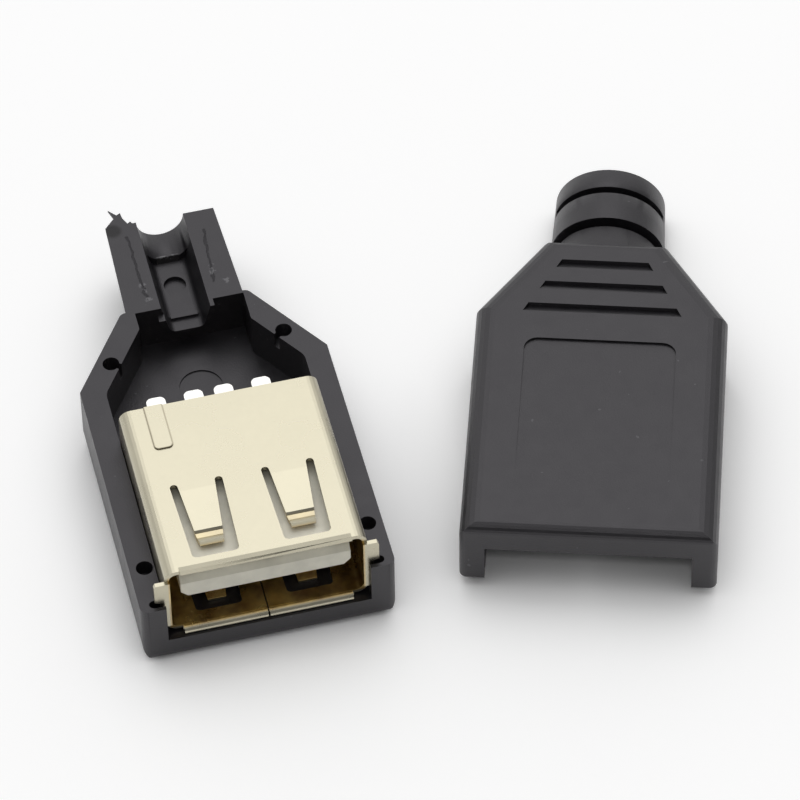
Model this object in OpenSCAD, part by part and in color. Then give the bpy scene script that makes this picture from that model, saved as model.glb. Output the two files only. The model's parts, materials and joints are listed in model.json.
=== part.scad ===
// Solder-type type-A cable socket, opened up.
// The base shell lies open side up with the metal receptacle seated in it, and the cover shell
// stands beside it on its four pegs, outer face up. All sizes are in millimetres.
// Each half is drawn in its own frame: X across, +Y from the mouth to the cable neck, the outer
// face at z = 0 and the parting plane at z = half_h.

/* [Housing halves] */
// Width of the housing
body_w = 16.5; // [15.8:0.1:22]
// Length of the straight sides, from the mouth
straight_l = 18.75; // [17.5:0.05:26]
// Length of the tapered part behind them
taper_l = 5.95; // [4.5:0.05:8]
// Width at the end of the taper
end_w = 8.5; // [8.2:0.1:10]
// Height of one half, from its outer face to the parting plane
half_h = 5.1; // [4.7:0.05:6.5]
// Radius of the outer edges along the sides
side_r = 1.3; // [0.5:0.05:1.5]
// Radius of the outer edges at the two ends
end_r = 0.7; // [0.3:0.05:0.9]
// Radius of the upright corners at the two ends
corner_r = 0.5; // [0.1:0.05:0.9]
// Floor thickness under the wiring bay
bay_floor = 1.7; // [1:0.05:2]
// Width of the bay's narrow end, under the neck
bay_end_w = 7.3; // [6.6:0.1:7.6]
// How far that narrow end lies to the right of the middle
bay_end_shift = 0.3; // [0:0.05:0.4]
// Thickness of the wall between the bay and the neck
end_wall = 0.2; // [0:0.05:0.8]
// Inner corner radius of the bay at the shoulders
bay_r = 1.1; // [0.3:0.05:1.6]
// Inner corner radius of the bay where its narrow end begins
bay_neck_r = 0.3; // [0:0.05:0.5]

/* [Cable neck] */
// Length of the neck
neck_l = 7.6; // [7:0.1:12]
// Neck radius at its root
neck_root_r = 3.97; // [3.6:0.01:4.05]
// Neck radius at its outer end
neck_end_r = 3.68; // [3.3:0.01:3.9]
// Length of the outermost ring
ring_1_l = 1.58; // [1:0.02:2.2]
// Length of the second ring
ring_2_l = 2.3; // [1:0.05:2.6]
// Width of the ring grooves
ring_gap = 0.55; // [0.3:0.05:0.8]
// Depth of the ring grooves
ring_depth = 0.8; // [0.4:0.05:1.2]
// How much slimmer the neck is between the second ring and the housing
neck_step = 0.4; // [0.1:0.05:0.6]
// Height of the neck left uncut next to the parting plane
ring_land = 0.95; // [0.5:0.05:1.5]
// Radius of the cable channel
cable_r = 1.6; // [1.2:0.05:1.8]
// Length of the smooth stretch at the channel's outer end
mouth_l = 2.3; // [1.5:0.1:3]
// How much deeper the channel is behind that stretch
trough_drop = 0.25; // [0.1:0.05:0.4]
// Width of the channel's flat floor there
trough_floor_w = 2.2; // [1.4:0.1:2.6]
// Radius between that floor and the channel's sides
trough_r = 0.5; // [0.2:0.05:0.8]
// Height of the inner grip rib
rib_h = 0.22; // [0.1:0.02:0.35]
// Length of the inner grip rib
rib_l = 0.3; // [0.2:0.05:0.6]
// Width of the inner grip rib
rib_w = 1.8; // [1.2:0.1:2.2]
// Distance of the inner grip rib from the bay
rib_back = 0.35; // [0.2:0.05:1]
// Length of the spout that carries the channel into the bay
spout_l = 0.6; // [0.4:0.05:1.2]
// Wall of that spout
spout_wall = 0.3; // [0.26:0.02:0.6]
// How much lower the spout's left rim is
spout_drop = 0.6; // [0.3:0.05:1]
// Radius of the ejector mark in the channel
trough_mark_r = 0.75; // [0.5:0.01:0.9]
// Distance of that mark's centre from the neck's root
trough_mark_y = 3.15; // [2:0.05:3.5]
// Depth of that mark
trough_mark_depth = 0.3; // [0.1:0.05:0.4]

/* [Pegs and marks] */
// Radius of the peg holes in the base shell
hole_r = 0.55; // [0.45:0.01:0.7]
// Radial clearance of the pegs in them
peg_clear = 0.05; // [0.02:0.01:0.1]
// Wall between a peg hole and the hollow
peg_wall = 0.1; // [0.06:0.01:0.2]
// How far the pegs stand out of the cover shell
peg_l = 0.9; // [0.6:0.05:1.6]
// Depth of the holes below the pegs' ends
hole_spare = 0.3; // [0.1:0.05:0.6]
// Distance of the front pegs from the mouth
front_peg_y = 3.58; // [2.5:0.02:6]
// Distance of the back pegs behind the shoulders
back_peg_y = 1.92; // [1.5:0.02:2.6]
// Width of the slots from the back peg holes into the bay
keyhole_w = 0.45; // [0.3:0.05:0.7]
// Radius of the ejector mark in the bay's floor
floor_mark_r = 1.45; // [1:0.05:1.8]
// Distance of that mark's centre in front of the bay's end
floor_mark_y = 4.4; // [3.5:0.1:5.5]
// Depth of that mark
mark_depth = 0.1; // [0.05:0.01:0.2]

/* [Cover face] */
// Distance of the rearmost grip groove from the face's end
grip_y = 1.8; // [1.3:0.05:2.4]
// Spacing of the grip grooves
grip_pitch = 1.93; // [1.5:0.01:2.2]
// Length of the shortest grip groove
grip_l = 5.7; // [4:0.1:6]
// How much longer each next grip groove is
grip_step = 2.0; // [1.2:0.1:2.4]
// Width of the grip grooves
grip_w = 0.7; // [0.4:0.05:1]
// Depth of the grip grooves at their steep back wall
grip_depth = 0.3; // [0.2:0.05:0.5]
// How much each end of a groove slants outward from back to front
grip_slant = 0.35; // [0.1:0.05:0.6]
// Width of the sunk panel
panel_w = 9.9; // [8:0.1:10.5]
// Length of the sunk panel
panel_l = 12.7; // [9:0.1:13]
// Distance of the panel's deep end in front of the shoulders
panel_y = 2.7; // [2:0.05:4]
// Depth of the panel at its deep end
panel_depth = 0.16; // [0.08:0.01:0.3]
// Corner radius of the panel
panel_r = 0.9; // [0.4:0.05:1.5]

/* [Layout] */
// Gap between the two halves at their mouths
lay_gap = 3.98; // [3:0.01:8]
// Distance of the cover's mouth in front of the base's mouth
lay_ahead = 1.39; // [-2:0.01:4]
// Angle that the cover is turned away from the base
lay_turn = 17.9; // [0:0.1:30]

/* [Receptacle shell] */
// Width of the metal shell
shell_w = 13.1; // [13:0.02:13.2]
// Height of the metal shell
shell_h = 5.72; // [5.7:0.01:5.8]
// Thickness of its sheet
sheet_t = 0.3; // [0.2:0.01:0.35]
// Outer corner radius of the shell
shell_r = 0.75; // [0.5:0.05:1]
// How far the shell's middle lies below the parting plane
shell_sink = 0.12; // [0:0.01:0.2]
// Distance of the shell's back edge from the mouth
shell_back = 14.2; // [13.6:0.05:15.5]
// Distance of the shell's front edge from the mouth
shell_front = 0.62; // [0.5:0.01:0.8]
// Side clearance of the shell in the housing
shell_clear = 0.07; // [0.04:0.01:0.12]
// Clearance above the shell in the cover, and round the lips in the mouth
lip_clear = 0.04; // [0.02:0.01:0.1]
// Width of the flared lips
lip_w = 11.1; // [9:0.1:11.4]
// How far the lips run forward
lip_run = 0.2; // [0.1:0.01:0.3]
// How far the lips flare outward
lip_rise = 0.17; // [0.08:0.01:0.2]
// How far the lips' bend lies behind the shell's front edge
lip_root = 0.3; // [0.2:0.05:0.5]
// Width of the seam along the shell's underside
seam_w = 0.08; // [0.05:0.01:0.15]
// Reach of the side ears at their wide upper ends
ear_reach = 0.72; // [0.5:0.02:0.9]
// Reach of the side ears below the parting plane
ear_low_reach = 0.34; // [0.2:0.02:0.5]
// Height of the wide ear above the parting plane
ear_top = 1.9; // [1:0.05:2]
// Gap between the wide ear and the parting plane
ear_gap = 0.1; // [0.05:0.01:0.3]
// Depth of the narrow ear below the parting plane
ear_drop = 2.3; // [1.5:0.05:2.4]
// Clearance of the ears in their slots
ear_clear = 0.15; // [0.08:0.01:0.25]
// Clearance of the ears at their outer ends
ear_end_clear = 0.35; // [0.1:0.05:0.5]
// Width of the pressed rib at the shell's back edge
press_w = 1.2; // [0.8:0.05:1.5]
// Length of the pressed rib
press_l = 3.6; // [2:0.1:4.5]
// Height of the pressed rib
press_h = 0.1; // [0.05:0.01:0.15]
// Distance of the pressed rib from the middle of the shell
press_x = 4.3; // [3.6:0.05:4.6]

/* [Spring fingers] */
// Distance of the fingers from the middle of the shell
finger_x = 2.97; // [2.6:0.01:3.2]
// Distance of the fingers' roots from the mouth
finger_root = 7.27; // [6.5:0.01:8]
// Distance of the fingers' bends from the mouth
finger_bend = 3.9; // [3.4:0.05:4.4]
// Distance of the fingers' tips from the mouth
finger_tip = 2.8; // [2.4:0.05:2.9]
// Width of a finger at its root
finger_root_w = 2.42; // [2:0.02:2.6]
// Width of a finger at its bend
finger_bend_w = 1.84; // [1.5:0.02:2]
// Width of a finger at its tip
finger_tip_w = 1.36; // [1:0.02:1.6]
// How far a finger is bent inward at its lowest
finger_dip = 0.5; // [0.3:0.02:0.5]
// Height and length of the step at its bend
finger_step = 0.16; // [0.05:0.01:0.2]
// Length of the flat part behind its tip
finger_flat = 0.45; // [0.3:0.05:0.5]
// How far its tip turns back up
finger_curl = 0.2; // [0.1:0.02:0.3]
// Width of the slots beside a finger's root
slot_w = 0.5; // [0.3:0.02:0.6]
// Distance of the windows' front edges from the mouth
window_front = 1.45; // [1.3:0.05:1.9]
// Width of the windows at their front edges
window_w = 3.0; // [2.4:0.05:3.2]

/* [Insulator and contacts] */
// Distance of the tongue's front face from the mouth
tongue_front = 0.8; // [0.7:0.02:1.2]
// Width of the tongue
tongue_w = 11.0; // [10.6:0.05:11.2]
// Thickness of the tongue
tongue_t = 1.84; // [1.7:0.01:1.9]
// Gap between the tongue and the shell above it
tongue_gap = 0.67; // [0.62:0.01:0.8]
// Chamfer along the tongue's lower edges
tongue_bevel = 0.45; // [0.2:0.05:0.6]
// Chamfer along the tongue's upper front edge
tongue_lead = 0.6; // [0.3:0.05:0.8]
// Length of the insulator's block
block_l = 2.9; // [2:0.1:3.5]
// How far the block sits inside the shell's back edge
block_inset = 0.3; // [0.1:0.05:0.8]
// Clearance of the block in the shell
block_clear = 0.03; // [0.02:0.01:0.06]
// Thickness of the contact strip
contact_t = 0.25; // [0.2:0.01:0.3]
// Width of the contact blades
blade_w = 1.0; // [0.8:0.02:1.1]
// Width of the solder tails
tail_w = 1.28; // [1.1:0.02:1.4]
// How far the solder tails stand out of the shell
tail_l = 3.8; // [2.5:0.1:4.5]
// Height of the tails' middle below the parting plane
tail_drop = 1.15; // [0.9:0.05:1.4]
// How far a blade bulges below the tongue
blade_bulge = 0.42; // [0.25:0.01:0.6]
// Clearance of the contacts in the insulator
contact_clear = 0.02; // [0.01:0.01:0.04]

/* [Hidden] */
$fn = 48;
arc_steps = 6;
eps = 0.01;

// Plastic, nickel and tin colours
black_plastic = [0.17, 0.165, 0.18];
nickel = [0.86, 0.82, 0.7];
white_plastic = [0.85, 0.85, 0.82];
tinned = [0.93, 0.93, 0.92];

// Housing outline
body_l = straight_l + taper_l;
full_l = body_l + neck_l;
taper_k = (body_w - end_w) / 2 / taper_l;
taper_q = sqrt(1 + taper_k * taper_k);
taper_turn = atan(taper_k);
pocket_w = shell_w + 2 * shell_clear;
side_wall = (body_w - pocket_w) / 2;
pocket_l = shell_back + 0.2;
bay_end = body_l - end_wall;

// Floors of the pocket and of the notch in front of it: side is 1 in the base and -1 in the cover
function pocket_floor(side) = half_h - shell_h / 2 - side * shell_sink - (side < 0 ? lip_clear : 0);
function notch_floor(side) = half_h - shell_h / 2 - side * shell_sink - lip_rise - lip_clear;

// The bay's half-width at a distance y along the taper, and the distance at which it is x
function bay_x(y) = body_w / 2 - side_wall * taper_q - taper_k * (y - straight_l);
function bay_y(x) = straight_l + (body_w / 2 - side_wall * taper_q - x) / taper_k;
bay_shoulder = straight_l - side_wall * (taper_q - 1) / taper_k;
bay_right = bay_end_w / 2 + bay_end_shift;
bay_left = bay_end_w / 2 - bay_end_shift;

// Pegs
peg_r = hole_r - peg_clear;
front_peg_x = pocket_w / 2 + peg_wall + hole_r;
back_peg_v = straight_l + back_peg_y;
back_peg_x = bay_x(back_peg_v) + (peg_wall + hole_r) * taper_q;
peg_places = [for (s = [-1, 1]) each [[s * front_peg_x, front_peg_y], [s * back_peg_x, back_peg_v]]];

// Receptacle, measured in the base shell's frame
shell_mid = half_h - shell_sink;
shell_top = shell_mid + shell_h / 2;
shell_bottom = shell_mid - shell_h / 2;
ear_y = shell_front - lip_run + sheet_t / 2;
tongue_top = shell_top - sheet_t - tongue_gap;
tongue_bottom = tongue_top - tongue_t;
block_back = shell_back - block_inset;
block_front = block_back - block_l;
tail_z = half_h - tail_drop;
tail_end = shell_back + tail_l;
blade_z = tongue_bottom + contact_t / 2;
contact_places = [-3.5, -1, 1, 3.5];

// Points of a polygon whose corners are rounded by the radii in r
function unit(v) = v / norm(v);
function corner_arc(a, b, c, r) =
    let (u = unit(a - b), w = unit(c - b), half = acos(u * w) / 2,
         centre = b + unit(u + w) * r / sin(half),
         p = b + u * r / tan(half), q = b + w * r / tan(half),
         from = atan2(p.y - centre.y, p.x - centre.x),
         sweep = (180 - 2 * half) * sign(cross(w, u)))
    [for (i = [0:arc_steps]) centre + r * [cos(from + sweep * i / arc_steps), sin(from + sweep * i / arc_steps)]];
function rounded(pts, r) =
    [for (i = [0:len(pts) - 1])
        let (a = pts[(i + len(pts) - 1) % len(pts)], c = pts[(i + 1) % len(pts)],
             ri = is_list(r) ? r[i] : r)
        each ri > 0 ? corner_arc(a, pts[i], c, ri) : [pts[i]]];
function box_pts(w, y0, y1) = [[-w / 2, y0], [w / 2, y0], [w / 2, y1], [-w / 2, y1]];

// Points of a strip of thickness t along a path, with mitred bends
function side_of(p, i) =
    let (a = unit(p[i] - p[max(i - 1, 0)] + (i == 0 ? p[1] - p[0] : [0, 0])),
         b = i == len(p) - 1 ? a : unit(p[i + 1] - p[i]),
         m = unit(a + b))
    [-m.y, m.x] / (m * a);
function strip(p, t) = concat(
    [for (i = [0:len(p) - 1]) p[i] - side_of(p, i) * t / 2],
    [for (i = [len(p) - 1:-1:0]) p[i] + side_of(p, i) * t / 2]);

// Extrusions along Y, of an X-Z profile, and along X, of a Y-Z profile
module along_y(y0, y1) {
    translate([0, y1, 0]) rotate([90, 0, 0]) linear_extrude(y1 - y0) children();
}
module along_x(x0, x1) {
    translate([x0, 0, 0]) rotate([90, 0, 90]) linear_extrude(x1 - x0) children();
}
module mirrored_x() {
    children();
    mirror([1, 0, 0]) children();
}

// Housing body of one half, without neck and hollows
module body_block() {
    outline = [[-body_w / 2, 0], [body_w / 2, 0], [body_w / 2, straight_l],
               [end_w / 2, body_l], [-end_w / 2, body_l], [-body_w / 2, straight_l]];
    intersection() {
        linear_extrude(half_h) polygon(rounded(outline, [corner_r, corner_r, 0, corner_r, corner_r, 0]));
        along_y(-1, body_l + 1)
            polygon(rounded(box_pts(body_w, 0, half_h), [side_r, side_r, 0, 0]));
        along_x(-body_w, body_w)
            polygon(rounded([[0, 0], [body_l, 0], [body_l, half_h], [0, half_h]], [end_r, end_r, 0, 0]));
        taper_edge();
        mirror([1, 0, 0]) taper_edge();
    }
}

// Everything inside the tapered side's face, with that face's lower edge rounded
module taper_edge() {
    reach = 3 * body_w;
    translate([body_w / 2, straight_l, 0]) rotate([0, 0, taper_turn]) along_y(-reach, reach)
        polygon(rounded([[-reach, 0], [0, 0], [0, half_h], [-reach, half_h]], [0, side_r, 0, 0]));
}

// Half-round neck with two rings, slimmer between them and between them and the housing
module neck() {
    root = body_l - end_r - 0.5;
    groove_1 = full_l - ring_1_l - ring_gap;
    groove_2 = groove_1 - ring_2_l - ring_gap;
    difference() {
        intersection() {
            translate([0, root, half_h]) rotate([-90, 0, 0])
                cylinder(h = full_l - root, r1 = neck_root_r, r2 = neck_end_r);
            translate([-body_w, root, 0]) cube([2 * body_w, full_l, half_h]);
        }
        slimmed(groove_1, groove_1 + ring_gap, neck_end_r - ring_depth);
        slimmed(groove_2, groove_2 + ring_gap, neck_end_r - ring_depth);
        slimmed(root - 1, groove_2 + ring_gap / 2, neck_root_r - neck_step);
    }
}

// What is cut off the neck from y0 to y1 to leave the radius r, clear of the parting plane
module slimmed(y0, y1, r) {
    intersection() {
        translate([0, y0, half_h]) rotate([-90, 0, 0]) difference() {
            cylinder(h = y1 - y0, r = neck_root_r + 1);
            translate([0, 0, -1]) cylinder(h = y1 - y0 + 2, r = r);
        }
        translate([-body_w, y0 - 1, -1]) cube([2 * body_w, y1 - y0 + 2, half_h - ring_land + 1]);
    }
}

// Cable channel: a smooth half-round mouth, then a deeper trough with a grip rib and an ejector mark
module channel() {
    trough_y = full_l - mouth_l;
    inner = bay_end - spout_l;
    floor_z = half_h - cable_r - trough_drop;
    translate([0, trough_y - eps, half_h]) rotate([-90, 0, 0]) cylinder(h = mouth_l + 1, r = cable_r);
    difference() {
        along_y(inner - 1, trough_y) trough_section(floor_z);
        translate([-rib_w / 2, bay_end + rib_back, 0]) cube([rib_w, rib_l, floor_z + rib_h]);
    }
    translate([0, body_l + trough_mark_y, floor_z - trough_mark_depth])
        cylinder(h = trough_mark_depth + 1, r = trough_mark_r);
}

// Section of the trough: a flat floor between sides that lean outward
module trough_section(floor_z) {
    half = trough_floor_w / 2;
    polygon(rounded([[-half, floor_z], [half, floor_z], [cable_r, half_h], [cable_r, half_h + 1],
                     [-cable_r, half_h + 1], [-cable_r, half_h]], [trough_r, trough_r, 0, 0, 0, 0]));
}

// Short spout that carries the channel from the neck into the bay, lower on its left
module spout() {
    y0 = bay_end - spout_l;
    outer_r = cable_r + spout_wall;
    low = half_h - spout_drop;
    along_y(y0, bay_end + eps) intersection() {
        translate([0, half_h - trough_drop]) circle(r = outer_r);
        polygon([[-body_w, 0], [body_w, 0], [body_w, half_h], [0, half_h], [0, low], [-body_w, low]]);
    }
}

// Hollow of one half: receptacle pocket, wiring bay and the notch in the front
module hollow(side) {
    bay = [[pocket_w / 2, pocket_l - 1], [pocket_w / 2, bay_shoulder],
           [bay_right, bay_y(bay_right)], [bay_right, bay_end],
           [-bay_left, bay_end], [-bay_left, bay_y(bay_left)],
           [-pocket_w / 2, bay_shoulder], [-pocket_w / 2, pocket_l - 1]];
    translate([0, 0, pocket_floor(side)]) linear_extrude(half_h) polygon(box_pts(pocket_w, 0, pocket_l));
    translate([0, 0, bay_floor]) linear_extrude(half_h)
        polygon(rounded(bay, [0, bay_r, bay_neck_r, 0, 0, bay_neck_r, bay_r, 0]));
    translate([-pocket_w / 2, -1, notch_floor(side)])
        cube([pocket_w, 1 + shell_front + lip_root + lip_clear, half_h]);
    ear_slots();
}

module ear_slots() {
    w = sheet_t + 2 * ear_clear;
    x0 = shell_w / 2 - 0.5;
    x1 = shell_w / 2 + ear_reach + ear_end_clear - w / 2;
    mirrored_x() translate([0, ear_y, half_h - ear_drop - ear_clear]) {
        translate([x0, -w / 2, 0]) cube([x1 - x0, w, half_h]);
        translate([x1, 0, 0]) cylinder(h = half_h, r = w / 2);
    }
}

module base_shell() {
    color(black_plastic) difference() {
        union() {
            difference() {
                union() {
                    body_block();
                    neck();
                }
                hollow(1);
            }
            spout();
            flash();
        }
        channel();
        for (p = peg_places) translate([p.x, p.y, half_h - peg_l - hole_spare])
            cylinder(h = half_h, r = hole_r);
        keyholes();
        translate([0, bay_end - floor_mark_y, bay_floor - mark_depth])
            cylinder(h = half_h, r = floor_mark_r);
    }
}

// Slots through the thin walls between the back peg holes and the bay
module keyholes() {
    mirrored_x() translate([back_peg_x, back_peg_v, half_h - peg_l - hole_spare]) rotate([0, 0, taper_turn])
        translate([-hole_r - 2 * peg_wall, -keyhole_w / 2, 0])
            cube([hole_r + 2 * peg_wall, keyhole_w, half_h]);
}

// Torn mould flash left on the neck's outer end, in the parting plane
module flash() {
    t = 0.14;
    tear = [[-3.5, -0.4], [-3.6, 0.05], [-2.95, 0.72], [-3.2, 1.5], [-2.72, 0.95], [-2.45, 1.1],
            [-2.4, 0.6], [-2.15, 0.05], [-1.95, 0.2], [-1.75, -0.2], [-1.9, -0.4]];
    translate([0, full_l, half_h - t]) linear_extrude(t) polygon(tear);
}

// The cover shell in its own frame, then turned over and set down beside the base
module cover_half() {
    difference() {
        union() {
            difference() {
                union() {
                    body_block();
                    neck();
                }
                hollow(-1);
            }
            spout();
            for (p = peg_places) translate([p.x, p.y, half_h]) peg();
        }
        channel();
        grip_grooves();
        panel();
    }
}

// Peg with a slightly tapered end, rooted in the housing's wall
module peg() {
    root = 1;
    straight = peg_l - peg_clear;
    translate([0, 0, -root]) cylinder(h = root + straight, r = peg_r);
    translate([0, 0, straight]) cylinder(h = peg_clear, r1 = peg_r, r2 = peg_r - peg_clear);
}

// Grooves with a steep back wall, a floor that rises to the front and slanted ends
module grip_grooves() {
    for (i = [0:2]) {
        back = body_l - grip_y - i * grip_pitch;
        front = back - grip_w;
        half = (grip_l + i * grip_step) / 2;
        intersection() {
            along_x(-body_w, body_w)
                polygon([[front, -1], [back, -1], [back, 0], [back - grip_depth / 3, grip_depth], [front, 0]]);
            translate([0, 0, -1]) linear_extrude(1 + grip_depth)
                polygon([[-half - grip_slant, front], [half + grip_slant, front], [half, back], [-half, back]]);
        }
    }
}

// Panel whose floor slopes up to nothing towards the mouth
module panel() {
    back = straight_l - panel_y;
    front = back - panel_l;
    intersection() {
        translate([0, 0, -1]) linear_extrude(1 + panel_depth)
            polygon(rounded(box_pts(panel_w, front, back), [0, 0, panel_r, panel_r]));
        along_x(-panel_w, panel_w)
            polygon([[front, -1], [back + 1, -1], [back + 1, panel_depth], [back, panel_depth], [front, 0]]);
    }
}

module cover_shell() {
    color(black_plastic)
        translate([body_w + lay_gap, -lay_ahead, half_h + peg_l]) rotate([0, 0, -lay_turn])
            rotate([0, 180, 0]) cover_half();
}

// Folded metal shell, with four spring fingers, flared lips and side ears
module shield() {
    color(nickel) {
        difference() {
            union() {
                tube();
                lip();
                at_bottom() lip();
                mirrored_x() ear();
                pressed_rib(press_h, 0);
            }
            mirrored_x() window();
            at_bottom() mirrored_x() window();
            pressed_rib(0, sheet_t);
            translate([-seam_w / 2, -1, shell_bottom - 1]) cube([seam_w, shell_back + 2, 1 + 2 * sheet_t]);
        }
        mirrored_x() finger();
        at_bottom() mirrored_x() finger();
    }
}

// Turns a top feature of the shell into the same feature on its underside
module at_bottom() {
    translate([0, 0, 2 * shell_mid]) mirror([0, 0, 1]) children();
}

function shell_pts(inset) = rounded(
    [for (s = [[-1, -1], [1, -1], [1, 1], [-1, 1]])
        [s.x * (shell_w / 2 - inset), shell_mid + s.y * (shell_h / 2 - inset)]], shell_r - inset);

module tube() {
    along_y(shell_front, shell_back) difference() {
        polygon(shell_pts(0));
        polygon(shell_pts(sheet_t));
    }
}

module lip() {
    z = shell_top - sheet_t / 2;
    bend = shell_front + lip_root;
    path = [[bend + 0.4, z], [bend, z], [shell_front - lip_run, z + lip_rise]];
    along_x(-lip_w / 2, lip_w / 2) polygon(strip(path, sheet_t));
}

// Side flange: narrow below the parting plane, wide above it
module ear() {
    root = shell_w / 2 - sheet_t;
    low = shell_w / 2 + ear_low_reach;
    wide = shell_w / 2 + ear_reach;
    bevel = 0.2;
    shape = [[root, half_h - ear_drop], [low, half_h - ear_drop], [low, half_h + ear_gap],
             [wide, half_h + ear_gap + bevel], [wide, half_h + ear_top - bevel],
             [wide - bevel / 2, half_h + ear_top], [root, half_h + ear_top]];
    along_y(ear_y - sheet_t / 2, ear_y + sheet_t / 2) polygon(shape);
    translate([0, ear_y - sheet_t / 2, half_h - ear_drop])
        translate([root, 0, 0]) cube([sheet_t, shell_front - ear_y + sheet_t, ear_drop + ear_top]);
}

module window() {
    back_w = finger_root_w + 2 * slot_w;
    slot_x = (finger_root_w + slot_w) / 2;
    open = rounded([[-window_w / 2, window_front], [window_w / 2, window_front],
                    [back_w / 2, finger_root], [-back_w / 2, finger_root]], [0.3, 0.3, 0, 0]);
    translate([finger_x, 0, shell_top - 2 * sheet_t]) {
        linear_extrude(3 * sheet_t) polygon(open);
        mirrored_x() translate([slot_x, finger_root, 0]) cylinder(h = 3 * sheet_t, r = slot_w / 2);
    }
}

// Spring finger: bent in towards the plug, with its tip turned back up
module finger() {
    z = shell_top - sheet_t / 2;
    low = z - finger_dip;
    flat = finger_bend - finger_step;
    path = [[finger_root + 0.4, z], [finger_root - 0.35, z], [finger_bend, low + finger_step], [flat, low],
            [flat - finger_flat, low], [finger_tip, low + finger_curl]];
    plan = [for (s = [-1, 1])
        each [for (p = s < 0 ? [[finger_root_w, finger_root + 1], [finger_root_w, finger_root],
                                [finger_bend_w, finger_bend], [finger_tip_w, finger_tip - 1]]
                             : [[finger_tip_w, finger_tip - 1], [finger_bend_w, finger_bend],
                                [finger_root_w, finger_root], [finger_root_w, finger_root + 1]])
            [s * p.x / 2, p.y]]];
    translate([finger_x, 0, 0]) intersection() {
        along_x(-finger_root_w, finger_root_w) polygon(strip(path, sheet_t));
        translate([0, 0, shell_mid]) linear_extrude(shell_h) polygon(plan);
    }
}

// Rib pressed outward at the back edge: raised by up, and hollowed to depth under from inside
module pressed_rib(up, under) {
    inset = under > 0 ? 0.15 : 0;
    shape = rounded(box_pts(press_w - 2 * inset, shell_back - press_l + inset, shell_back + (under > 0 ? 1 : 0)),
                    [0.3, 0.3, 0, 0]);
    translate([-press_x, 0, shell_top - sheet_t - (under > 0 ? eps : -eps)])
        linear_extrude(under > 0 ? press_h + eps : sheet_t + up - eps) polygon(shape);
}

// Insulator: a block that fills the shell's back end, and the tongue that carries the contacts
module insulator() {
    inner_w = shell_w - 2 * sheet_t - 2 * block_clear;
    inner_h = shell_h - 2 * sheet_t - 2 * block_clear;
    top = tongue_top;
    low = tongue_bottom;
    half = tongue_w / 2;
    section = [[-half, top], [half, top], [half, low + tongue_bevel], [half - tongue_bevel, low],
               [tongue_bevel - half, low], [-half, low + tongue_bevel]];
    side = [[tongue_front, low - 1], [block_back, low - 1], [block_back, top],
            [tongue_front + tongue_lead, top], [tongue_front, top - tongue_lead]];
    color(white_plastic) difference() {
        union() {
            along_y(block_front, block_back)
                polygon(rounded([for (s = [[-1, -1], [1, -1], [1, 1], [-1, 1]])
                    [s.x * inner_w / 2, shell_mid + s.y * inner_h / 2]], shell_r - sheet_t));
            intersection() {
                along_y(tongue_front, block_back) polygon(section);
                along_x(-tongue_w, tongue_w) polygon(side);
            }
        }
        for (x = contact_places) translate([x, 0, 0]) {
            along_x(-blade_w / 2 - contact_clear, blade_w / 2 + contact_clear)
                polygon(strip(contact_path(), contact_t + 2 * contact_clear));
            along_x(-blade_w / 2 - contact_clear, blade_w / 2 + contact_clear)
                polygon([[blade_tip - 0.2, low - 1], [blade_free, low - 1], [blade_free, low + contact_t],
                         [blade_tip - 0.2, low + contact_t]]);
        }
    }
}

// Side view of a contact: solder tail, jog inside the block, blade with a bulge under the tongue
blade_tip = tongue_front + 1.0;
blade_free = block_front - 3.2;
function contact_path() = [
    [tail_end, tail_z], [block_back - 0.9, tail_z], [block_front + 0.6, blade_z], [blade_free, blade_z],
    [blade_tip + 2.6, tongue_bottom - blade_bulge], [blade_tip + 1.6, tongue_bottom - blade_bulge],
    [blade_tip, blade_z]];

module contact(i) {
    tail_from = shell_back + 0.2;
    plan = [[-tail_w / 2, tail_from + 0.3], [-blade_w / 2, tail_from], [-blade_w / 2, 0], [blade_w / 2, 0],
            [blade_w / 2, tail_from], [tail_w / 2, tail_from + 0.3], [tail_w / 2, tail_end],
            [-tail_w / 2, tail_end]];
    color(tinned) translate([contact_places[i], 0, 0]) intersection() {
        along_x(-tail_w, tail_w) polygon(strip(contact_path(), contact_t));
        linear_extrude(2 * half_h) polygon(rounded(plan, [0, 0, 0, 0, 0, 0, 0.4, 0.4]));
    }
}

// The row's origin is the middle of the base shell's flat underside
module in_row() {
    translate([0, -body_l / 2, 0]) children();
}

in_row() base_shell();
in_row() cover_shell();
in_row() shield();
in_row() insulator();
in_row() contact(0);  // contact_1
in_row() contact(1);  // contact_2
in_row() contact(2);  // contact_3
in_row() contact(3);  // contact_4
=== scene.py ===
"""Looks of the opened type-A cable socket: finishes, soft edges, floor, lights and camera."""

import json
import math

import bpy
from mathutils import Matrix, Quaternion, Vector

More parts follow.
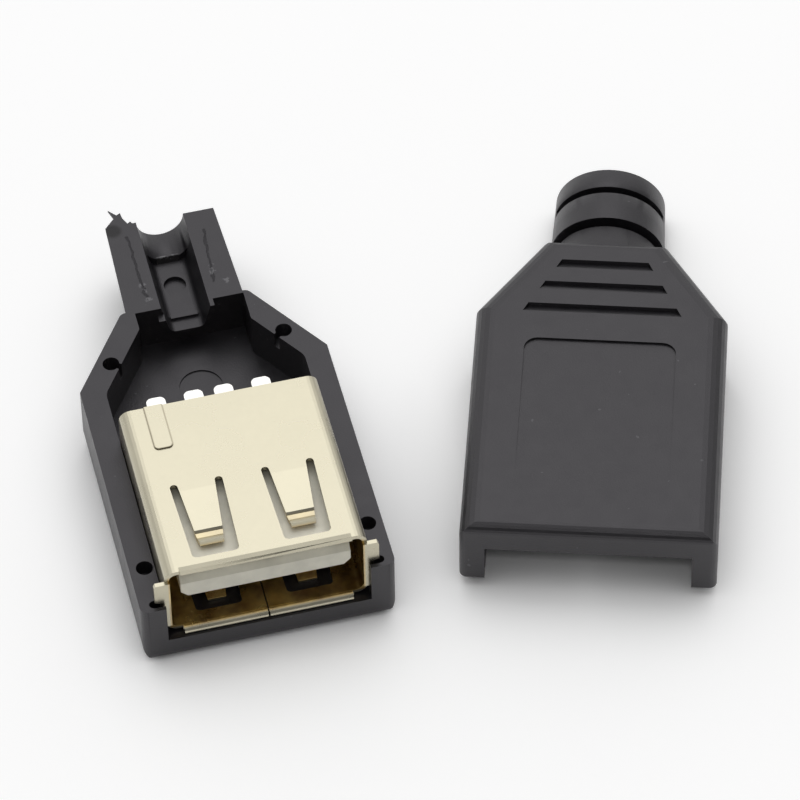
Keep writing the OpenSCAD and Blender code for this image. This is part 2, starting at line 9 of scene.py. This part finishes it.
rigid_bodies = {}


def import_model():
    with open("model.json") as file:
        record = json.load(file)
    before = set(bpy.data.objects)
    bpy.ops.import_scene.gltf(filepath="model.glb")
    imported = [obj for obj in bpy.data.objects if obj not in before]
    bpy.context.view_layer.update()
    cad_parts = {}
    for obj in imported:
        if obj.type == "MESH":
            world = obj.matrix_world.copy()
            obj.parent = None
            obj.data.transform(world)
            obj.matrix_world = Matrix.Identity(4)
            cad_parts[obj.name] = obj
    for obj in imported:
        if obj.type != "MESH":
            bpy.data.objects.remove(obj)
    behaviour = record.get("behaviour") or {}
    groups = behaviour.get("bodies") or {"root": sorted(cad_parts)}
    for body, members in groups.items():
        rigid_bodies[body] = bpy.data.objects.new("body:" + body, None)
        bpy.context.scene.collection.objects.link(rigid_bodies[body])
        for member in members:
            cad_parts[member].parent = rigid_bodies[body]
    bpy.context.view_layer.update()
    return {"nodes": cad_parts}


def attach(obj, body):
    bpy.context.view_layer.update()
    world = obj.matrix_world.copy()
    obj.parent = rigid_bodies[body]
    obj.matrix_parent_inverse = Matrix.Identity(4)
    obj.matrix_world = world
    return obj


MM = 0.001

# Camera: the way it looks, how far it stands from its target, its tilt and its lens
VIEW_AZIMUTH = -13.06
VIEW_ELEVATION = 50.17
VIEW_ROLL = -1.13
VIEW_DISTANCE = 378 * MM
VIEW_TARGET = Vector((12.59, 4.35, 0.5)) * MM
LENS = 258.4

# Finishes, as linear colours
BLACK_PLASTIC = (0.0085, 0.008, 0.0095)
NICKEL = (0.54, 0.505, 0.39)
WHITE_PLASTIC = (0.90, 0.87, 0.74)
TIN = (0.80, 0.79, 0.76)
FLOOR = (0.93, 0.93, 0.93)
SEEN_FLOOR = (0.965, 0.965, 0.965)
FLOOR_GLOW = 0.26

STAIN_COLOUR = (0.004, 0.004, 0.003)
FLECK_COLOUR = (0.10, 0.10, 0.105)
# Painted shade with a warm painted reflection, darker and browner, for the shield's inner faces in the
# mouth
INSIDE_SHADE_COLOURS = ((0.30, 0.19, 0.09), (0.78, 0.58, 0.22))
# Painted shade for the crease round the pressed rib's foot
RIB_PAINTED_SHADE = (0.30, 0.27, 0.20)

# All lengths and places below are in mm, in the row's frame

# Wear on the neck halves' faces: scuff lines, pale flecks and the stained torn corner
SCUFF_LINES = [
    ((-2.6, 18.8, 5.1), (-2.5, 16.4, 5.1)),
    ((-2.5, 16.4, 5.1), (-2.25, 13.4, 5.1)),
    ((2.65, 18.2, 5.1), (2.45, 15.6, 5.1)),
    ((2.45, 15.6, 5.1), (2.2, 13.6, 5.1)),
]
SCUFF_WIDTH = 0.1
SCUFF_WAVER = 0.45
FLECKS = [
    (-2.35, 14.4, 5.1),
    (-2.25, 14.0, 5.1),
    (-2.2, 13.1, 5.1),
    (2.45, 14.9, 5.1),
    (2.4, 14.4, 5.1),
    (3.1, 13.5, 5.1),
    (-0.3, 17.7, 3.7),
    (0.2, 17.7, 3.7),
]
FLECK_RADIUS = 0.32
STAIN = (-3.25, 19.55, 5.0)
STAIN_RADIUS = 0.75

# The scratch on the cover
SCRATCH = [
    ((31.2, 7.0, 6.0), (31.9, 7.1, 6.0)),
    ((31.9, 7.1, 6.0), (32.4, 6.2, 6.0)),
]
SCRATCH_WIDTH = 0.06

# The space in the shield whose inner faces get painted shade with a warm painted reflection, darker and
# browner: each pair is where that ends and where it has faded out
SHADE_ASIDE = (6.28, 6.4)
SHADE_TOP = (7.05, 7.5)
SHADE_BOTTOM = (2.36, 2.26)
SHADE_FRONT = (-11.85, -12.05)

# The pressed rib's two corners, the radius of its outline and half the width of the painted shade line
# round its foot
RIB = ((-4.9, -1.75, 7.0), (-3.7, 2.85, 9.0))
RIB_ROUND = 0.3
RIB_LINE = (0.02, 0.09)

# The lower lip's curl: its section as Y and Z, and how far its halves reach to the seam and aside
LIP_CURL = [
    (-11.7, 2.40),
    (-11.8, 2.40),
    (-11.92, 2.37),
    (-12.03, 2.29),
    (-12.12, 2.18),
    (-12.165, 2.06),
    (-12.16, 1.97),
    (-12.1, 1.96),
    (-11.7, 2.2),
]
LIP_SEAM = 0.06
LIP_END = 5.5

# The ridge across the start of the cable trough: its section as Y and Z, and half its width back and front
RIDGE = [(18.05, 3.2), (17.82, 3.72), (17.68, 3.72), (17.5, 3.15)]
RIDGE_HALF_WIDTHS = (0.8, 0.75)

# The lower spring fingers' ends: section as Y and Z, place across X, and half the width back and front
FINGER_END = [(-9.0, 2.62), (-9.6, 2.5), (-10.15, 2.38), (-10.15, 2.14), (-9.6, 2.26), (-9.0, 2.38)]
FINGER_MIDDLE = 2.97
FINGER_HALF_WIDTHS = (0.74, 0.62)

# The floor glows where it is open to its surroundings, as measured within the reach, and fades out under
# the object: how open it is where the glow is full and where it has gone
GLOW_REACH = 7
GLOW_OPENNESS = (0.9, 0.3)

# Width of the small rounding on each piece's edges
EDGE_ROUNDING = {"base_shell": 0.06, "cover_shell": 0.06, "shield": 0.04, "insulator": 0.06}
CONTACT_ROUNDING = 0.03
SMALL_ROUNDING = 0.04

# Edges sharper than this, in degrees, are rounded, and strips are shaded smooth up to the second
ROUNDED_ANGLE = 40
SMOOTH_ANGLE = 35

# Vertices nearer each other than this are joined
WELD_REACH = 0.0005

# The way from the object to the brightest surroundings
BRIGHT_WAY = (0, 0.7, 0.714)


def clear_scene():
    for item in list(bpy.data.objects):
        bpy.data.objects.remove(item)


class Nodes:
    """Builds a material's nodes with short calls."""

    # Places of the colour sockets of a Mix node, which has the same names for other types
    MIX_FIRST, MIX_SECOND, MIX_RESULT = 6, 7, 2

    def __init__(self, name):
        self.material = bpy.data.materials.new(name)
        self.material.use_nodes = True
        self.tree = self.material.node_tree
        self.shader = self.tree.nodes["Principled BSDF"]
        self.place = self.add("ShaderNodeTexCoord").outputs["Object"]

    def add(self, kind, **settings):
        made = self.tree.nodes.new(kind)
        for key, value in settings.items():
            setattr(made, key, value)
        return made

    def link(self, source, target):
        self.tree.links.new(source, target)

    def noise(self, scale, detail=4.0, roughness=0.55, stretch=None):
        """Noise around 0.5, with its scale in cells per metre, and times stretch along each axis."""
        made = self.add("ShaderNodeTexNoise")
        made.inputs["Scale"].default_value = scale
        made.inputs["Detail"].default_value = detail
        made.inputs["Roughness"].default_value = roughness
        source = self.place
        if stretch is not None:
            mapping = self.add("ShaderNodeMapping")
            mapping.inputs["Scale"].default_value = stretch
            self.link(self.place, mapping.inputs["Vector"])
            source = mapping.outputs["Vector"]
        self.link(source, made.inputs["Vector"])
        return made.outputs["Fac"]

    def ramp(self, source, low, high, start=0.35, end=0.65):
        """A colour that goes from low to high while source goes from start to end."""
        made = self.add("ShaderNodeValToRGB")
        stops = made.color_ramp.elements
        stops[0].position, stops[0].color = start, (*low, 1)
        stops[1].position, stops[1].color = end, (*high, 1)
        self.link(source, made.inputs["Fac"])
        return made.outputs["Color"]

    def spread(self, source, low, high):
        """A number that goes from low to high while source goes from 0.3 to 0.7."""
        made = self.add("ShaderNodeMapRange")
        made.inputs["From Min"].default_value = 0.3
        made.inputs["From Max"].default_value = 0.7
        made.inputs["To Min"].default_value = low
        made.inputs["To Max"].default_value = high
        self.link(source, made.inputs["Value"])
        return made.outputs["Result"]

    def bump(self, source, height):
        """Shades the surface as if raised by the height, in metres, where source is 1."""
        made = self.add("ShaderNodeBump")
        made.inputs["Strength"].default_value = 1.0
        made.inputs["Distance"].default_value = height
        self.link(source, made.inputs["Height"])
        self.link(made.outputs["Normal"], self.shader.inputs["Normal"])

    def set(self, **values):
        """Sets the shader's own inputs, with _ for each space in a name."""
        for key, value in values.items():
            self.shader.inputs[key.replace("_", " ")].default_value = value

    def calc(self, operation, a, b=0.0, clamp=False):
        """One sum on two numbers or node outputs."""
        made = self.add("ShaderNodeMath", operation=operation, use_clamp=clamp)
        for slot, value in zip(made.inputs, (a, b)):
            if isinstance(value, (int, float)):
                slot.default_value = value
            else:
                self.link(value, slot)
        return made.outputs["Value"]

    def vector(self, operation, a, b=None, scale=None):
        """The node for one sum on vectors."""
        made = self.add("ShaderNodeVectorMath", operation=operation)
        for slot, value in zip(made.inputs, (a, b)):
            if isinstance(value, (tuple, Vector)):
                slot.default_value = value
            elif value is not None:
                self.link(value, slot)
        if scale is not None:
            self.link(scale, made.inputs["Scale"])
        return made

    def fade(self, source, start, end):
        """1 where source is below start, 0 where it is above end, or the other way round."""
        made = self.add("ShaderNodeMapRange", interpolation_type="SMOOTHSTEP")
        low, high = (start, end) if start < end else (end, start)
        for name, value in (("From Min", low), ("From Max", high),
                            ("To Min", float(start < end)), ("To Max", float(start > end))):
            made.inputs[name].default_value = value
        self.link(source, made.inputs["Value"])
        return made.outputs["Result"]

    def stroke(self, a, b, width, waver=0.0):
        """1 within width of the line from a to b, in mm, which wanders by waver."""
        a, b = Vector(a) * MM, Vector(b) * MM
        place = self.place
        if waver:
            aside = self.calc("SUBTRACT", self.noise(700), 0.5)
            wander = self.vector("SCALE", (2 * waver * MM, 0.0, 0.0), scale=aside)
            place = self.vector("ADD", place, wander.outputs["Vector"]).outputs["Vector"]
        offset = self.vector("SUBTRACT", place, a).outputs["Vector"]
        run = (b - a) / (b - a).length_squared
        along = self.calc("ADD", self.vector("DOT_PRODUCT", offset, run).outputs["Value"], 0.0, clamp=True)
        foot = self.vector("SCALE", tuple(b - a), scale=along).outputs["Vector"]
        distance = self.vector("DISTANCE", offset, foot).outputs["Value"]
        return self.fade(distance, 0.4 * width * MM, width * MM)

    def spot(self, centre, radius):
        """1 near the centre, in mm, fading out at the radius."""
        distance = self.vector("DISTANCE", self.place, tuple(Vector(centre) * MM)).outputs["Value"]
        return self.fade(distance, 0.5 * radius * MM, radius * MM)

    def most(self, masks):
        """The greatest of the masks."""
        total = masks[0]
        for mask in masks[1:]:
            total = self.calc("MAXIMUM", total, mask)
        return total

    def tint(self, colour, other, mask):
        """The colour, or the other one where mask is 1."""
        made = self.add("ShaderNodeMix", data_type="RGBA")
        self.link(mask, made.inputs["Factor"])
        for slot, value in ((self.MIX_FIRST, colour), (self.MIX_SECOND, other)):
            if isinstance(value, tuple):
                made.inputs[slot].default_value = (*value, 1)
            else:
                self.link(value, made.inputs[slot])
        return made.outputs[self.MIX_RESULT]


def shades(colour, low, high):
    """A darker and a lighter tone of the colour."""
    return [tuple(c * k for c in colour) for k in (low, high)]


def black_plastic():
    """Satin moulded plastic with a fine grain, scuffed where the neck halves were pressed together."""
    n = Nodes("black_plastic")
    n.set(Metallic=0.0, IOR=1.6, Specular_Tint=(0.98, 0.95, 1.0, 1))
    tone = n.noise(900, detail=6)
    grain = n.noise(9000, detail=3)
    specks = n.noise(4200, detail=1)
    lines = n.most([n.stroke(a, b, SCUFF_WIDTH, waver=SCUFF_WAVER) for a, b in SCUFF_LINES])
    spots = n.most([n.spot(centre, FLECK_RADIUS) for centre in FLECKS])
    flecks = n.calc("MULTIPLY", spots, n.fade(specks, 0.56, 0.5))
    scratch = n.calc("MULTIPLY", n.most([n.stroke(a, b, SCRATCH_WIDTH) for a, b in SCRATCH]), 0.8)
    stain = n.spot(STAIN, STAIN_RADIUS)
    dust = n.calc("MULTIPLY", n.fade(n.noise(2600, detail=0), 0.87, 0.855), 0.45)
    pale = n.most([flecks, scratch, dust])
    colour = n.ramp(tone, *shades(BLACK_PLASTIC, 0.8, 1.2))
    colour = n.tint(colour, STAIN_COLOUR, stain)
    n.link(n.tint(colour, FLECK_COLOUR, pale), n.shader.inputs["Base Color"])
    rough = n.calc("ADD", n.spread(tone, 0.36, 0.44), n.calc("MULTIPLY", n.most([lines, stain]), 0.25))
    n.link(rough, n.shader.inputs["Roughness"])
    dents = n.calc("MULTIPLY", n.most([lines, n.calc("MULTIPLY", stain, n.noise(2500))]), -2.5)
    n.bump(n.calc("ADD", grain, dents), 0.014 * MM)
    return n.material


def nickel_sheet():
    """Warm nickel plate with faint rolling lines, and painted shade with a warm painted reflection that
    makes it darker and browner inside the mouth.
    """
    n = Nodes("nickel_sheet")
    n.set(Metallic=1.0)
    cloud = n.noise(350, detail=4)
    shaded_inside = n.ramp(n.noise(420, detail=3), *INSIDE_SHADE_COLOURS)
    # The inner faces are painted darker and browner, as painted shade and warm painted reflection
    colour = n.tint(n.ramp(cloud, *shades(NICKEL, 0.94, 1.05)), shaded_inside, inside_shade_mask(n))
    # The line round the rib's foot is painted shade
    n.link(n.tint(colour, RIB_PAINTED_SHADE, rib_shade_line(n)), n.shader.inputs["Base Color"])
    n.link(n.spread(cloud, 0.24, 0.34), n.shader.inputs["Roughness"])
    n.bump(n.noise(1, detail=3, stretch=(9000, 500, 9000)), 0.002 * MM)
    return n.material


def inside_shade_mask(n):
    """1 on the shield's inner faces, where the painted shade and warm painted reflection go."""
    axes = n.add("ShaderNodeSeparateXYZ")
    n.link(n.place, axes.inputs["Vector"])
    aside = n.calc("ABSOLUTE", axes.outputs["X"])
    inside = n.fade(aside, *(c * MM for c in SHADE_ASIDE))
    for axis, ends in (("Z", SHADE_TOP), ("Z", SHADE_BOTTOM), ("Y", SHADE_FRONT)):
        inside = n.calc("MULTIPLY", inside, n.fade(axes.outputs[axis], *(c * MM for c in ends)))
    return inside


def rib_shade_line(n):
    """1 on a thin line of painted shade round the foot of the pressed rib."""
    low, high = (Vector(corner) * MM for corner in RIB)
    radius = RIB_ROUND * MM
    middle = tuple((low + high) / 2)
    core = tuple((high - low) / 2 - Vector((1, 1, 1)) * radius)
    offset = n.vector("SUBTRACT", n.place, middle).outputs["Vector"]
    offset = n.vector("ABSOLUTE", offset).outputs["Vector"]
    beyond = n.vector("SUBTRACT", offset, core).outputs["Vector"]
    beyond = n.vector("MAXIMUM", beyond, (0.0, 0.0, 0.0)).outputs["Vector"]
    distance = n.vector("LENGTH", beyond).outputs["Value"]
    away = n.calc("ABSOLUTE", n.calc("SUBTRACT", distance, radius))
    return n.calc("MULTIPLY", n.fade(away, *(c * MM for c in RIB_LINE)), 0.8)


def white_plastic():
    n = Nodes("white_plastic")
    n.set(Metallic=0.0, Roughness=0.45, IOR=1.5)
    n.link(n.ramp(n.noise(700), *shades(WHITE_PLASTIC, 0.93, 1.05)), n.shader.inputs["Base Color"])
    n.bump(n.noise(6000, detail=3), 0.006 * MM)
    return n.material


def tinned_contact():
    n = Nodes("tinned_contact")
    n.set(Metallic=1.0)
    cloud = n.noise(1500, detail=5)
    n.link(n.ramp(cloud, *shades(TIN, 0.9, 1.05)), n.shader.inputs["Base Color"])
    n.link(n.spread(cloud, 0.2, 0.36), n.shader.inputs["Roughness"])
    n.bump(cloud, 0.01 * MM)
    return n.material


def soften(piece, width):
    """Joins the mesh's split edges and rounds the sharp ones."""
    weld = piece.modifiers.new("weld", "WELD")
    weld.merge_threshold = WELD_REACH * MM
    bevel = piece.modifiers.new("soft_edges", "BEVEL")
    bevel.width = width * MM
    bevel.segments = 2
    bevel.limit_method = "ANGLE"
    bevel.angle_limit = math.radians(ROUNDED_ANGLE)
    bevel.harden_normals = True


def dress(piece, material, width):
    """Gives a piece its material and softened edges of that width in mm."""
    piece.data.materials.clear()
    piece.data.materials.append(material)
    soften(piece, width)


def add_piece(name, points, faces, material, width):
    """A small piece in the row's frame, given in mm, that rides on the part's only body."""
    mesh = bpy.data.meshes.new(name)
    mesh.from_pydata([Vector(p) * MM for p in points], [], faces)
    piece = bpy.data.objects.new(name, mesh)
    bpy.context.scene.collection.objects.link(piece)
    mesh.polygons.foreach_set("use_smooth", [True] * len(mesh.polygons))
    mesh.set_sharp_from_angle(angle=math.radians(SMOOTH_ANGLE))
    dress(piece, material, width)
    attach(piece, "root")


def add_strip(name, section, back, front, material, width):
    """A strip across X with its Y-Z section given anticlockwise as seen from +X.

    back and front are its two ends in X at the section's greatest and least Y.
    """
    count = len(section)
    ys = [y for y, z in section]
    share = [(y - max(ys)) / (min(ys) - max(ys)) for y in ys]
    left, right = (
        [(start + (end - start) * t, y, z) for t, (y, z) in zip(share, section)]
        for start, end in zip(back, front)
    )
    caps = [tuple(reversed(range(count))), tuple(range(count, 2 * count))]
    sides = [(i, (i + 1) % count, count + (i + 1) % count, count + i) for i in range(count)]
    add_piece(name, left + right, caps + sides, material, width)


def add_trough_ridge(material):
    back, front = ((-half, half) for half in RIDGE_HALF_WIDTHS)
    add_strip("trough_ridge", RIDGE, back, front, material, SMALL_ROUNDING)


def add_finger_end(side, label, material):
    """Rounded end of a lower spring finger, which reaches further than the rigid part's."""
    middle = side * FINGER_MIDDLE
    back, front = ((middle - half, middle + half) for half in FINGER_HALF_WIDTHS)
    name = f"lower_finger_tip_{label}"
    add_strip(name, FINGER_END, back, front, material, SMALL_ROUNDING)


def add_lip_curl(side, label, material):
    """The curl of the lower lip's front edge, on one side of the seam."""
    span = sorted((side * LIP_SEAM, side * LIP_END))
    add_strip(f"lower_lip_curl_{label}", LIP_CURL, span, span, material, 0)


def add_floor():
    """A pale floor, which camera, mirror and transmission rays see lighter and glowing.

    The glow fades out near the object, so the shadow stays.
    """
    bpy.ops.mesh.primitive_plane_add(size=4)
    floor = bpy.context.object
    floor.name = "floor"
    n = Nodes("floor")
    n.set(Roughness=0.9, Emission_Color=(1, 1, 1, 1))
    rays = n.add("ShaderNodeLightPath").outputs
    seen = n.calc("ADD", rays["Is Camera Ray"], rays["Is Glossy Ray"])
    seen = n.calc("ADD", seen, rays["Is Transmission Ray"], clamp=True)
    tone = n.noise(3)
    plain, pale = (n.ramp(tone, *shades(colour, 0.99, 1.01)) for colour in (FLOOR, SEEN_FLOOR))
    n.link(n.tint(plain, pale, seen), n.shader.inputs["Base Color"])
    openness = n.add("ShaderNodeAmbientOcclusion")
    openness.inputs["Distance"].default_value = GLOW_REACH * MM
    away = n.fade(openness.outputs["AO"], *GLOW_OPENNESS)
    glow = n.calc("MULTIPLY", n.calc("MULTIPLY", away, FLOOR_GLOW), seen)
    n.link(glow, n.shader.inputs["Emission Strength"])
    floor.data.materials.append(n.material)


def add_lamp(name, azimuth, elevation, distance, size, radiance):
    """A square soft lamp that faces the object. Azimuth 0 is behind the object, and 90 on its right."""
    a, e = math.radians(azimuth), math.radians(elevation)
    way = Vector((math.sin(a) * math.cos(e), math.cos(a) * math.cos(e), math.sin(e)))
    data = bpy.data.lights.new(name, "AREA")
    data.shape = "SQUARE"
    data.size = size
    data.energy = 4 * radiance * size * size
    lamp = bpy.data.objects.new(name, data)
    bpy.context.scene.collection.objects.link(lamp)
    lamp.location = VIEW_TARGET + way * distance
    lamp.rotation_mode = "QUATERNION"
    lamp.rotation_quaternion = way.to_track_quat("Z", "Y")


def add_world(bright, dark):
    """Surroundings that are bright above and behind the object and dark low down in front of it."""
    world = bpy.data.worlds.new("surround")
    bpy.context.scene.world = world
    world.use_nodes = True
    tree = world.node_tree
    way = tree.nodes.new("ShaderNodeTexCoord").outputs["Generated"]
    toward = tree.nodes.new("ShaderNodeVectorMath")
    toward.operation = "DOT_PRODUCT"
    toward.inputs[1].default_value = BRIGHT_WAY
    tree.links.new(way, toward.inputs[0])
    level = tree.nodes.new("ShaderNodeMapRange")
    level.interpolation_type = "SMOOTHSTEP"
    for name, value in (("From Min", 0.15), ("From Max", 0.85), ("To Min", dark), ("To Max", bright)):
        level.inputs[name].default_value = value
    tree.links.new(toward.outputs["Value"], level.inputs["Value"])
    background = tree.nodes["Background"]
    background.inputs["Color"].default_value = (1, 1, 1, 1)
    tree.links.new(level.outputs["Result"], background.inputs["Strength"])


def add_camera():
    a, e = math.radians(VIEW_AZIMUTH), math.radians(VIEW_ELEVATION)
    back = Vector((math.sin(a) * math.cos(e), -math.cos(a) * math.cos(e), math.sin(e)))
    data = bpy.data.cameras.new("camera")
    data.lens = LENS
    data.sensor_width = 36
    data.clip_start, data.clip_end = 0.01, 10
    camera = bpy.data.objects.new("camera", data)
    bpy.context.scene.collection.objects.link(camera)
    camera.location = VIEW_TARGET + back * VIEW_DISTANCE
    camera.rotation_mode = "QUATERNION"
    roll = Quaternion((0, 0, 1), math.radians(VIEW_ROLL))
    camera.rotation_quaternion = (-back).to_track_quat("-Z", "Y") @ roll
    bpy.context.scene.camera = camera


clear_scene()
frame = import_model()
nodes = frame["nodes"]

plastic = black_plastic()
for name in ("base_shell", "cover_shell"):
    dress(nodes[name], plastic, EDGE_ROUNDING[name])
nickel = nickel_sheet()
dress(nodes["shield"], nickel, EDGE_ROUNDING["shield"])
dress(nodes["insulator"], white_plastic(), EDGE_ROUNDING["insulator"])
tin = tinned_contact()
for i in range(1, 5):
    dress(nodes[f"contact_{i}"], tin, CONTACT_ROUNDING)
add_trough_ridge(plastic)
for side, label in ((-1, "left"), (1, "right")):
    add_finger_end(side, label, nickel)
    add_lip_curl(side, label, nickel)

add_floor()
add_world(bright=0.95, dark=0.2)
add_lamp("key", azimuth=14, elevation=64, distance=0.6, size=0.38, radiance=0.7)
add_lamp("front", azimuth=194, elevation=56, distance=2.0, size=0.2, radiance=14)
add_camera()
bpy.context.scene.view_settings.view_transform = "Standard"
